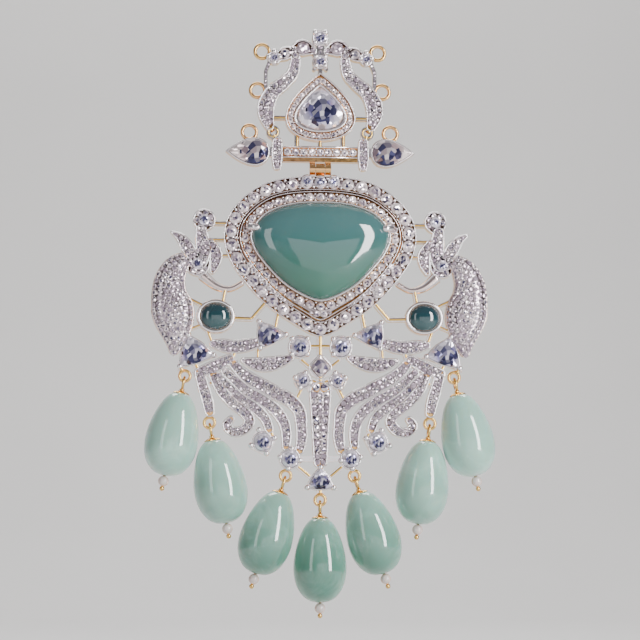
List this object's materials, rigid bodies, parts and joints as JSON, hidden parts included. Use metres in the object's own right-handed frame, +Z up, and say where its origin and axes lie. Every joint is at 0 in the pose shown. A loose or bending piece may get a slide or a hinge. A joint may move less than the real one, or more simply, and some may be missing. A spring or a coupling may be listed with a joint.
{
  "type": "peacock pendant",
  "caption": "Large hinged pendant: a pierced upper plaque with strand rings, and a peacock plate with a domed centre stone and hanging drops.",
  "frame": {"origin": "midway between the two middle strand rings, in the middle plane of the plates' strand rings", "axes": "+Z up towards the crown stone, -Y out of the front, +X to the right as seen from the front"},
  "size_m": [0.0777, 0.0132, 0.1317],
  "materials": {
    "white_metal": "polished white plating over gold-coloured metal",
    "gold": "polished yellow to rose gold plating",
    "clear_stone": "clear faceted stone",
    "mint_stone": "polished translucent mint-green stone",
    "teal_stone": "polished dark teal stone"
  },
  "bodies": {
    "upper": {"upper_frame": "white_metal", "upper_pear_stone": "clear_stone", "upper_crown_stone": "clear_stone", "upper_claw_stone": "clear_stone", "upper_side_stone_left": "clear_stone", "upper_side_stone_right": "clear_stone", "upper_end_stone_left": "clear_stone", "upper_end_stone_right": "clear_stone", "upper_halo_stones": "clear_stone", "upper_bar_stones": "clear_stone", "hinge_pin": "gold"},
    "pendant": {"peacock_frame": "white_metal", "centre_stone": "mint_stone", "outer_halo_stones": "clear_stone", "inner_halo_stones": "clear_stone", "oval_stone_left": "teal_stone", "oval_stone_right": "teal_stone", "tail_trillion_left": "clear_stone", "tail_trillion_right": "clear_stone", "side_trillion_left": "clear_stone", "side_trillion_right": "clear_stone", "square_stone_left": "clear_stone", "square_stone_right": "clear_stone", "shoulder_stone_left": "clear_stone", "shoulder_stone_right": "clear_stone", "neck_stone_left": "clear_stone", "neck_stone_right": "clear_stone", "foot_stone_left": "clear_stone", "foot_stone_right": "clear_stone", "kite_stone": "clear_stone", "tip_stone": "clear_stone", "drop_bead_1": "mint_stone", "drop_bead_2": "mint_stone", "drop_bead_3": "mint_stone", "drop_bead_4": "mint_stone", "drop_bead_5": "mint_stone", "drop_bead_6": "mint_stone", "drop_bead_7": "mint_stone", "drop_wire_1": "gold", "drop_wire_2": "gold", "drop_wire_3": "gold", "drop_wire_4": "gold", "drop_wire_5": "gold", "drop_wire_6": "gold", "drop_wire_7": "gold", "drop_end_1": "white_metal", "drop_end_2": "white_metal", "drop_end_3": "white_metal", "drop_end_4": "white_metal", "drop_end_5": "white_metal", "drop_end_6": "white_metal", "drop_end_7": "white_metal"}
  },
  "joints": [
    {"name": "pendant_swing", "type": "hinge", "parent": "upper", "child": "pendant", "pos_m": [0, -0.00035, -0.018], "axis": [1, 0, 0], "range_deg": [-90, 90]}
  ]
}
